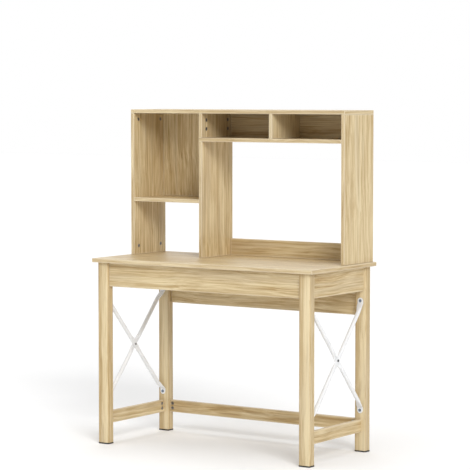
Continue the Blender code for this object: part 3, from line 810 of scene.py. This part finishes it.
def brace_screw_mesh():
    """A domed head with a cross recess, and its wood thread."""
    head = [
        (0, SCREW_HEAD_THICK),
        (SCREW_HEAD_RADIUS * 0.38, SCREW_HEAD_THICK * 0.985),
        (SCREW_HEAD_RADIUS * 0.66, SCREW_HEAD_THICK * 0.88),
        (SCREW_HEAD_RADIUS * 0.86, SCREW_HEAD_THICK * 0.66),
        (SCREW_HEAD_RADIUS * 0.96, SCREW_HEAD_THICK * 0.40),
        (SCREW_HEAD_RADIUS, SCREW_HEAD_THICK * 0.16),
        (SCREW_HEAD_RADIUS * 0.985, 0),
        (SCREW_SHANK, 0),
    ]
    profile = head + threaded(SCREW_SHANK, -0.0036, -SCREW_LONG + 0.0005, 0.0016, 0.004)
    bm = turned(profile, 28)
    bm = carve(bm, wedge_cross(0.0011, 0.0031, 0.0019, SCREW_HEAD_THICK))
    return master(bm, SCREW_HEAD_THICK, 0.0016)


def hexagon(radius, low, high):
    bm = bmesh.new()
    bmesh.ops.create_cone(
        bm, cap_ends=True, segments=6, radius1=radius, radius2=radius, depth=high - low,
        matrix=Matrix.Translation((0, 0, (high + low) / 2))
    )
    return bm


PRESSED_OUT = PRESS_OFFSET + PRESS_HALF_THICK + GAP
BOLT_SHANK_LONG = 2 * PRESSED_OUT + 0.005


BOLT_HEAD_THICK = 0.0034
SOCKET_RADIUS = 0.0019
SOCKET_FLOOR = 0.0013
NUT_RADIUS = 0.0045
NUT_THICK = 0.0025
COLLAR_TOP = 0.0032


def centre_bolt_mesh():
    """A button head with a hexagon socket, and its threaded shank."""
    profile = [
        (0, BOLT_HEAD_THICK),
        (0.0022, 0.0033),
        (0.0037, 0.0029),
        (0.0046, 0.0021),
        (0.0051, 0.0010),
        (0.0052, 0.0003),
        (0.0050, 0),
        (SCREW_SHANK, 0),
    ] + threaded(SCREW_SHANK, -0.0030, -BOLT_SHANK_LONG, 0.0008, 0.0002)
    bm = turned(profile, 28)
    socket = hexagon(SOCKET_RADIUS, SOCKET_FLOOR, 0.0040)
    return master(carve(bm, [socket]), BOLT_HEAD_THICK, 0.0019)


def centre_nut_mesh():
    """A lock nut: hexagon with chamfered corners, and the round collar of its insert."""
    bm = hexagon(NUT_RADIUS, 0.0, NUT_THICK)
    bevel(bm, rim_edges(bm, 0.0) + rim_edges(bm, NUT_THICK), 0.0003, 2)
    collar = turned([
        (0.0036, 0.0022),
        (0.0036, 0.0029),
        (0.0033, COLLAR_TOP),
        (0.0028, COLLAR_TOP),
        (0.0028, 0.0022),
        (0.0036, 0.0022),
    ], 24)
    bore = SCREW_SHANK + 0.0001
    hole = turned([(0, 0.0050), (bore, 0.0050), (bore, -0.0010), (0, -0.0010)], 24)
    body = carve(bm, [hole])
    scrap = bpy.data.meshes.new("scrap")
    collar.to_mesh(scrap)
    collar.free()
    body.from_mesh(scrap)
    bpy.data.meshes.remove(scrap)
    return master(body, COLLAR_TOP, 0.0060)


SCREW = brace_screw_mesh()
BOLT = centre_bolt_mesh()
NUT = centre_nut_mesh()
for side_name, side in SIDES:
    for end_name, end in ENDS:
        for level, height in (("low", SCREW_LOW), ("high", SCREW_HIGH)):
            label = side_name + "_" + end_name + "_" + level
            seat = Vector((side * TAB_X, end * (LEG_FACE - 2 * GAP - 2 * TAB_HALF_THICK), height))
            turn = Matrix.Rotation(0.4 + 1.7 * side + 0.9 * end + height, 4, "Z")
            matrix = facing(seat, -end * Y) @ turn
            node = "desk_brace_screw_" + label
            place_fitting("brace_screw_" + label, SCREW, matrix, SCREW_METAL, [node])
    bolt_seat = Vector((side * (BRACE_X + PRESSED_OUT), 0, CROSSING.z))
    nut_seat = Vector((side * (BRACE_X - PRESSED_OUT), 0, CROSSING.z))
    node = "desk_brace_bolt_" + side_name
    matrix = facing(bolt_seat, side * X)
    place_fitting("crossing_bolt_" + side_name, BOLT, matrix, DARK_METAL, [node])
    node = "desk_brace_nut_" + side_name
    matrix = facing(nut_seat, -side * X)
    place_fitting("crossing_nut_" + side_name, NUT, matrix, BOLT_METAL, [node])


# ---------------------------------------------------------------- cam joints and dowels
def cam_lock_mesh():
    """A cast cam: broken rim, cross recess, pointer notch and the bolt's way in at the side."""
    body = turned([
        (0, 0),
        (CAM_RADIUS - 0.0016, 0),
        (CAM_RADIUS - 0.0013, -0.0004),
        (CAM_RADIUS - 0.0009, -0.0004),
        (CAM_RADIUS - 0.0006, 0),
        (CAM_RADIUS - 0.0003, 0),
        (CAM_RADIUS, -0.0004),
        (CAM_RADIUS, -0.0022),
        (CAM_RADIUS - 0.0005, -0.0027),
        (CAM_RADIUS - 0.0005, -CAM_DEPTH + 0.0004),
        (CAM_RADIUS - 0.0009, -CAM_DEPTH),
        (0, -CAM_DEPTH),
    ], 28)
    cross = wedge_cross(0.0017, 0.0042, 0.0034, 0.0)
    pointer = bmesh.new()
    tip = Matrix.Translation((CAM_RADIUS * 0.76, 0, 0))
    bmesh.ops.create_cone(
        pointer, cap_ends=True, segments=3, radius1=0.0008, radius2=0.0013, depth=0.0014,
        matrix=tip @ Matrix.Rotation(-math.pi / 2, 4, "Z")
    )
    way_in = bmesh.new()
    bmesh.ops.create_cube(
        way_in, size=1.0,
        matrix=Matrix.Translation((CAM_RADIUS * 0.75, 0, -0.0072))
        @ Matrix.Diagonal((0.0075, 0.0062, 0.0062, 1))
    )
    bevel(way_in, way_in.edges[:], 0.0014, 2)
    return master(carve(body, [*cross, pointer, way_in]), 0.0, 0.0022)


def cam_bolt_mesh(reach):
    """A cam bolt: coarse thread and collar in the mate, a thin neck and a ball head in the cam."""
    thread = []
    height = -BOLT_IN_MATE + 0.0004
    while height < -0.0022:
        thread += [(0.0024, height), (0.0031, height + 0.0009)]
        height += 0.0018
    profile = [(0, -BOLT_IN_MATE + 0.0002), (0.0016, -BOLT_IN_MATE + 0.0002)] + thread + [
        (0.0024, -0.0008),
        (0.0031, -0.0004),
        (0.0031, 0.0006),
        (0.0022, 0.0010),
        (0.0022, reach - 0.0062),
        (0.0016, reach - 0.0056),
        (0.0016, reach - 0.0034),
        (0.0026, reach - 0.0026),
        (0.0029, reach - 0.0016),
        (0.0026, reach - 0.0006),
        (0, reach - 0.0002),
    ]
    return master(turned(profile, 16), reach, 10.0)


def dowel_mesh():
    """A wooden pin with tapered ends and pressed grooves."""
    half = DOWEL_LENGTH / 2
    bm = turned([
        (0, -half),
        (DOWEL_RADIUS - 0.0009, -half),
        (DOWEL_RADIUS, -half + 0.0012),
        (DOWEL_RADIUS, half - 0.0012),
        (DOWEL_RADIUS - 0.0009, half),
        (0, half),
    ], 24)
    for vert in bm.verts:
        radius = math.hypot(vert.co.x, vert.co.y)
        if radius > DOWEL_RADIUS * 0.9:
            step = round(math.atan2(vert.co.y, vert.co.x) / (2 * math.pi) * 24)
            shrink = 0.93 if step % 2 else 1.0
            vert.co.x *= shrink
            vert.co.y *= shrink
    return master(bm, half, 10.0)


CAM = cam_lock_mesh()
REACHES = (REACH_STRETCHER, REACH_STRETCHER_REAR, REACH_SHORT, REACH_LONG)
CAM_BOLTS = {reach: cam_bolt_mesh(reach) for reach in REACHES}
DOWEL = dowel_mesh()


def cam_joint(label, end, along, face, reach, cad_cam=None):
    """Cam lock in its pocket and its bolt, which stands in the mate at end and runs along."""
    seat = end + along * reach + face * (BOARD / 2 - GAP)
    replaced = [cad_cam] if cad_cam else []
    name = "lock_" + label
    place_fitting(name, CAM, facing(seat, face, -along), CAM_METAL, replaced)
    place_fitting("cam_bolt_" + label, CAM_BOLTS[reach], facing(end, along), BOLT_METAL)


def dowel(label, end, along):
    centre = end + along * (DOWEL_LENGTH / 2 - DOWEL_IN_MATE)
    place_fitting("dowel_" + label, DOWEL, facing(centre, along), BEECH)


def middle(name, axis):
    low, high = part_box(name)
    return (low[axis] + high[axis]) / 2


LEG_FACE_X = abs(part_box("desk_leg_front_left")[1].x)
UNDER_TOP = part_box("desk_top")[0].z
APRON_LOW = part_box("desk_apron_front")[0].z
APRON_CAM = APRON_LOW + 0.030
APRON_DOWEL = APRON_LOW + 0.066
PANEL_CAMS = {"lower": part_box("desk_back_panel")[0].z + 0.040, "upper": UNDER_TOP - 0.040}
STRETCHER_MID = middle("desk_stretcher_back", 2)
STRETCHER_CAMS = {"lower": STRETCHER_MID - 0.0085, "upper": STRETCHER_MID + 0.0115}
TOP_HOLD_X = 0.270
for side_name, side in SIDES:
    inward = -side * X
    apron_y = middle("desk_apron_front", 1)
    panel_y = middle("desk_back_panel", 1)
    front_end = Vector((side * LEG_FACE_X, apron_y, APRON_CAM))
    cam_joint("apron_front_" + side_name, front_end, inward, Y, REACH_SHORT)
    dowel("apron_front_" + side_name, Vector((side * LEG_FACE_X, apron_y, APRON_DOWEL)), inward)
    for level, height in PANEL_CAMS.items():
        panel_end = Vector((side * LEG_FACE_X, panel_y, height))
        cam_joint("back_panel_" + side_name + "_" + level, panel_end, inward, Y, REACH_LONG)
    for name, y in (("apron", apron_y), ("panel", panel_y)):
        hold_end = Vector((side * TOP_HOLD_X, y, UNDER_TOP))
        cam_joint("top_" + name + "_" + side_name, hold_end, -Z, Y, REACH_SHORT)
    for level, height in STRETCHER_CAMS.items():
        stretcher_end = Vector((side * LEG_FACE_X, middle("desk_stretcher_back", 1), height))
        label = "stretcher_back_" + side_name + "_" + level
        cam_joint(label, stretcher_end, inward, -Y, REACH_STRETCHER, "cam_lock_" + label)
    for end_name, end in ENDS:
        toward = -end * Y
        apron_x = middle("desk_apron_" + side_name, 0)
        side_end = Vector((apron_x, end * LEG_FACE, APRON_CAM))
        cam_joint("apron_" + side_name + "_" + end_name, side_end, toward, inward, REACH_SHORT)
        dowel_end = Vector((apron_x, end * LEG_FACE, APRON_DOWEL))
        dowel("apron_" + side_name + "_" + end_name, dowel_end, toward)
        for level, height in STRETCHER_CAMS.items():
            place = Vector((middle("desk_stretcher_" + side_name, 0), end * LEG_FACE, height))
            label = "stretcher_" + side_name + "_" + end_name + "_" + level
            cad_cam = "cam_lock_" + label if side < 0 else None
            reach = REACH_STRETCHER if end_name == "front" else REACH_STRETCHER_REAR
            cam_joint(label, place, toward, inward, reach, cad_cam)

DESK_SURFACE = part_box("desk_top")[1].z
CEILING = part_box("hutch_top")[0].z
HUTCH_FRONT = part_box("hutch_top")[0].y
HUTCH_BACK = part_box("hutch_top")[1].y
INNER_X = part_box("hutch_side_right")[0].x
DIVIDER_X = middle("hutch_divider_lower", 0)
DIVIDER_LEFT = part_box("hutch_divider_lower")[0].x
CUBBY_X = middle("hutch_cubby_divider", 0)
LEFT_SHELF_Z = middle("hutch_shelf_left", 2)
MIDDLE_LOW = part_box("hutch_shelf_middle")[0].z
MIDDLE_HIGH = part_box("hutch_shelf_middle")[1].z
CAM_LINES = {"front": HUTCH_FRONT + 0.033, "back": HUTCH_BACK - 0.035}
CUBBY_CAM_LINES = {"front": HUTCH_FRONT + 0.033, "back": HUTCH_BACK - 0.053}
RISER_CAM_LINES = {"front": HUTCH_FRONT + 0.070, "back": HUTCH_BACK - 0.070}
for place_name, y in CAM_LINES.items():
    for side_name, side in SIDES:
        x = side * (INNER_X + BOARD / 2)
        label = "side_" + side_name + "_" + place_name
        low_cam = "cam_lock_" + label + "_low" if side < 0 else None
        high_cam = "cam_lock_" + label + "_high" if side < 0 else None
        cam_joint(label + "_low", Vector((x, y, DESK_SURFACE)), Z, -side * X, REACH_LONG, low_cam)
        cam_joint(label + "_high", Vector((x, y, CEILING)), -Z, -side * X, REACH_SHORT, high_cam)
    foot = Vector((DIVIDER_X, y, DESK_SURFACE))
    cam_joint("lower_divider_foot_" + place_name, foot, Z, -X, REACH_LONG)
    riser = Vector((DIVIDER_X, RISER_CAM_LINES[place_name], MIDDLE_LOW))
    cam_joint("lower_divider_head_" + place_name, riser, -Z, -X, REACH_SHORT)
    outer = Vector((-INNER_X, y, LEFT_SHELF_Z))
    cam_joint("left_shelf_outer_" + place_name, outer, X, -Z, REACH_SHORT)
    inner = Vector((DIVIDER_LEFT, y, LEFT_SHELF_Z))
    cam_joint("left_shelf_inner_" + place_name, inner, -X, -Z, REACH_SHORT)
    shelf_end = Vector((INNER_X, y, middle("hutch_shelf_middle", 2)))
    cam_joint("middle_shelf_" + place_name, shelf_end, -X, -Z, REACH_SHORT)
    low_end = Vector((DIVIDER_X, y, MIDDLE_HIGH))
    high_end = Vector((DIVIDER_X, y, CEILING))
    label = "divider_" + place_name
    cam_joint(label + "_low", low_end, Z, X, REACH_LONG, "cam_lock_" + label + "_low")
    cam_joint(label + "_high", high_end, -Z, X, REACH_SHORT, "cam_lock_" + label + "_high")
    cubby_y = CUBBY_CAM_LINES[place_name]
    cam_joint("cubby_low_" + place_name, Vector((CUBBY_X, cubby_y, MIDDLE_HIGH)), Z, -X, REACH_LONG)
    cam_joint("cubby_high_" + place_name, Vector((CUBBY_X, cubby_y, CEILING)), -Z, -X, REACH_SHORT)

BACK_MID = middle("hutch_back_left", 1)
LEFT_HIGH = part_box("hutch_shelf_left")[1].z
DIVIDER_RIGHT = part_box("hutch_divider_lower")[1].x
DOWEL_ROWS = (
    ("back_left_outer", -INNER_X, X, (LEFT_HIGH + 0.040, MIDDLE_LOW - 0.060)),
    ("back_left_inner", DIVIDER_LEFT, -X, (LEFT_HIGH + 0.040, MIDDLE_LOW - 0.060, CEILING - 0.048)),
    ("back_cubbies_inner", DIVIDER_RIGHT, X, (MIDDLE_HIGH + 0.022, CEILING - 0.022)),
    ("back_cubbies_outer", INNER_X, -X, (MIDDLE_HIGH + 0.022, CEILING - 0.022)),
    ("rail_inner", DIVIDER_RIGHT, X, (DESK_SURFACE + 0.018, DESK_SURFACE + 0.050)),
    ("rail_outer", INNER_X, -X, (DESK_SURFACE + 0.018, DESK_SURFACE + 0.050)),
)
for label, x, along, heights in DOWEL_ROWS:
    for index, height in enumerate(heights):
        dowel(label + "_" + str(index + 1), Vector((x, BACK_MID, height)), along)

# ---------------------------------------------------------------- floor, lights and camera
floor_bm = bmesh.new()
bmesh.ops.create_grid(floor_bm, x_segments=1, y_segments=1, size=30.0)
floor_mesh = bpy.data.meshes.new("studio_floor")
floor_bm.to_mesh(floor_mesh)
floor_bm.free()
studio_floor = bpy.data.objects.new("studio_floor", floor_mesh)
bpy.context.scene.collection.objects.link(studio_floor)
paper, paper_tree, paper_shader = start_material("studio_paper", (0.9, 0.9, 0.9))
paper_place = paper_tree.nodes.new("ShaderNodeTexCoord").outputs["Object"]
paper_tone = noise(paper_tree, paper_place, 3.0, 2.0)
paper_colour = mix_colour(paper_tree, paper_tone, (0.93, 0.93, 0.93, 1), (0.95, 0.95, 0.95, 1))
paper_tree.links.new(paper_colour, paper_shader.inputs["Base Color"])
paper_shader.inputs["Roughness"].default_value = 0.9
paper_shader.inputs["Specular IOR Level"].default_value = 0.1
floor_mesh.materials.append(paper)

world = bpy.data.worlds.new("studio")
bpy.context.scene.world = world
world.use_nodes = True
sky = world.node_tree
sky.nodes.clear()
direction = sky.nodes.new("ShaderNodeTexCoord").outputs["Generated"]
climb = add_node(sky, "ShaderNodeSeparateXYZ", {0: direction}).outputs
DOME_STOPS = (
    (0.0, (0.80, 0.80, 0.80)),
    (0.35, (0.86, 0.86, 0.86)),
    (1.0, (1.05, 1.05, 1.05)),
)
dome = ramp(sky, climb[2], DOME_STOPS)
ambient = add_node(sky, "ShaderNodeBackground", {"Color": dome, "Strength": 0.36})
backdrop = add_node(sky, "ShaderNodeBackground", {"Color": (1, 1, 1, 1), "Strength": 1.0})
seen = sky.nodes.new("ShaderNodeLightPath").outputs["Is Camera Ray"]
blended = add_node(sky, "ShaderNodeMixShader", {0: seen, 1: ambient.outputs[0], 2: backdrop.outputs[0]})
sky_output = sky.nodes.new("ShaderNodeOutputWorld")
sky.links.new(blended.outputs[0], sky_output.inputs["Surface"])


def sun(name, azimuth, elevation, strength, softness):
    """A soft distant light: azimuth 0 comes from the front, 90 from the right, in degrees."""
    light = bpy.data.lights.new(name, "SUN")
    light.energy = strength
    light.angle = math.radians(softness)
    item = bpy.data.objects.new(name, light)
    turn = math.radians(azimuth)
    climb_angle = math.radians(elevation)
    source = Vector((
        math.sin(turn) * math.cos(climb_angle),
        -math.cos(turn) * math.cos(climb_angle),
        math.sin(climb_angle),
    ))
    item.rotation_euler = source.to_track_quat("Z", "Y").to_euler()
    item.location = source * 6
    bpy.context.scene.collection.objects.link(item)


sun("overhead", 0, 88, 1.30, 60)
sun("key_front_right", 50, 29, 1.72, 24)
sun("low_right", 70, 9, 0.22, 24)
sun("fill_front_left", -30, 25, 0.36, 60)
sun("fill_back", 212, 20, 0.60, 50)

CAMERA_PLACE = (4.68989, -6.92500, 1.41559)
CAMERA_HEADING = 34.044
CAMERA_TILT = 3.872
SENSOR = 36.0
FOCAL_LENGTH = 161.80698
lens = bpy.data.cameras.new("camera")
lens.sensor_width = SENSOR
lens.lens = FOCAL_LENGTH
lens.clip_end = 100.0
camera = bpy.data.objects.new("camera", lens)
camera.location = CAMERA_PLACE
camera.rotation_euler = (math.radians(90 - CAMERA_TILT), 0, math.radians(CAMERA_HEADING))
bpy.context.scene.collection.objects.link(camera)
bpy.context.scene.camera = camera
bpy.context.scene.view_settings.view_transform = "Standard"
